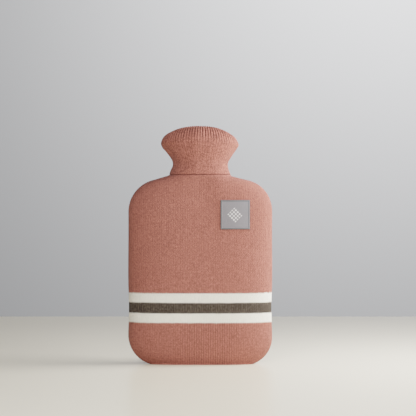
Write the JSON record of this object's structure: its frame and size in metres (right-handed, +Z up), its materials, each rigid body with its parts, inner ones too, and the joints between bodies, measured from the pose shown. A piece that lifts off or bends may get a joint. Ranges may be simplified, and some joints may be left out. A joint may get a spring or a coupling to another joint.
{
  "type": "hot water bottle cover",
  "caption": "Knitted cover for a hot water bottle, standing on its flat base, with rounded shoulders, a flared ribbed neck open at the top and a small sewn label on the front",
  "frame": {"origin": "middle of the bounding box's base, on the surface that the cover stands on", "axes": "+Z up through the neck, X across the front with +X on the label's side, and the front with the label facing -Y"},
  "size_m": [0.204, 0.0646, 0.3363],
  "materials": {
    "terracotta_knit": "soft matte jersey knit with white, grey-brown and white bands near the base",
    "terracotta_rib": "soft matte rib knit",
    "grey_label_weave": "fine woven satin label, matte, with a darker folded edge"
  },
  "bodies": {
    "root": {"body_pouch": "terracotta_knit", "neck_collar": "terracotta_rib", "woven_label": "grey_label_weave"}
  },
  "joints": []
}
